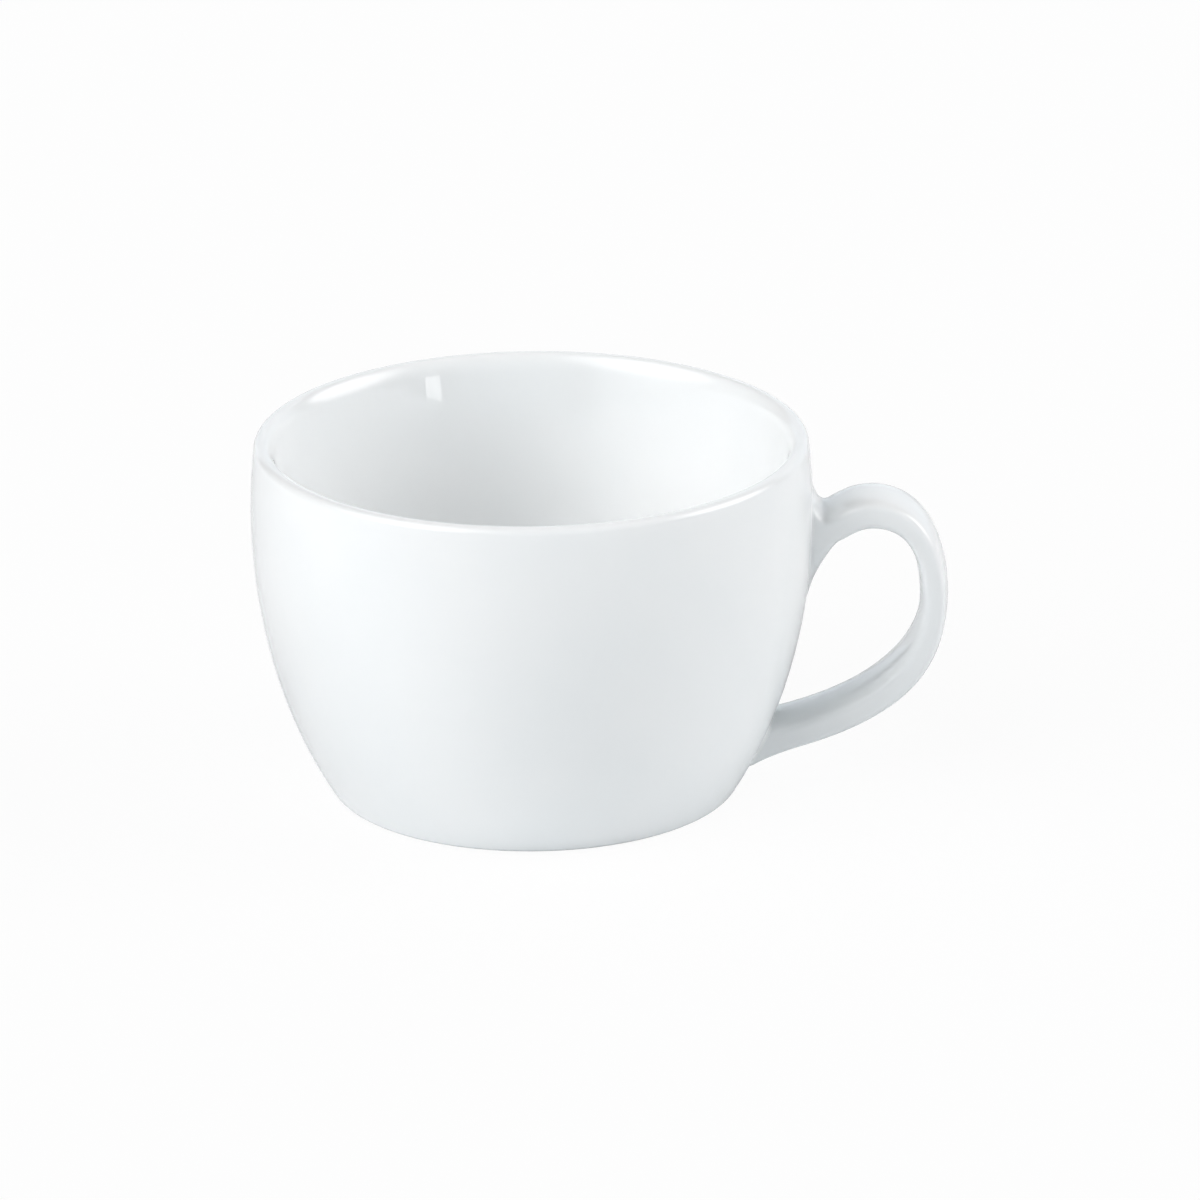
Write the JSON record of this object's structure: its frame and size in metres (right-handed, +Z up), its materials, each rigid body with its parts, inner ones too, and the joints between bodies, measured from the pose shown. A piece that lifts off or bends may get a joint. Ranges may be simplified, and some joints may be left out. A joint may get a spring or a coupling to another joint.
{
  "type": "espresso cup",
  "caption": "White glazed porcelain espresso cup: a rounded bowl that narrows to a foot ring, with an ear-shaped loop handle stuck to its side, for serving and drinking a small coffee.",
  "frame": {"origin": "on the bowl's axis, on the plane of the foot ring that the cup stands on", "axes": "+Z up along the bowl's axis, +X towards the handle, +Y away from the viewer of the picture"},
  "size_m": [0.0817, 0.066, 0.043],
  "materials": {
    "porcelain": "gloss",
    "slip": "gloss"
  },
  "bodies": {
    "root": {"cup_body": "porcelain", "handle": "porcelain", "upper_slip_joint": "slip", "lower_slip_joint": "slip"}
  },
  "joints": []
}
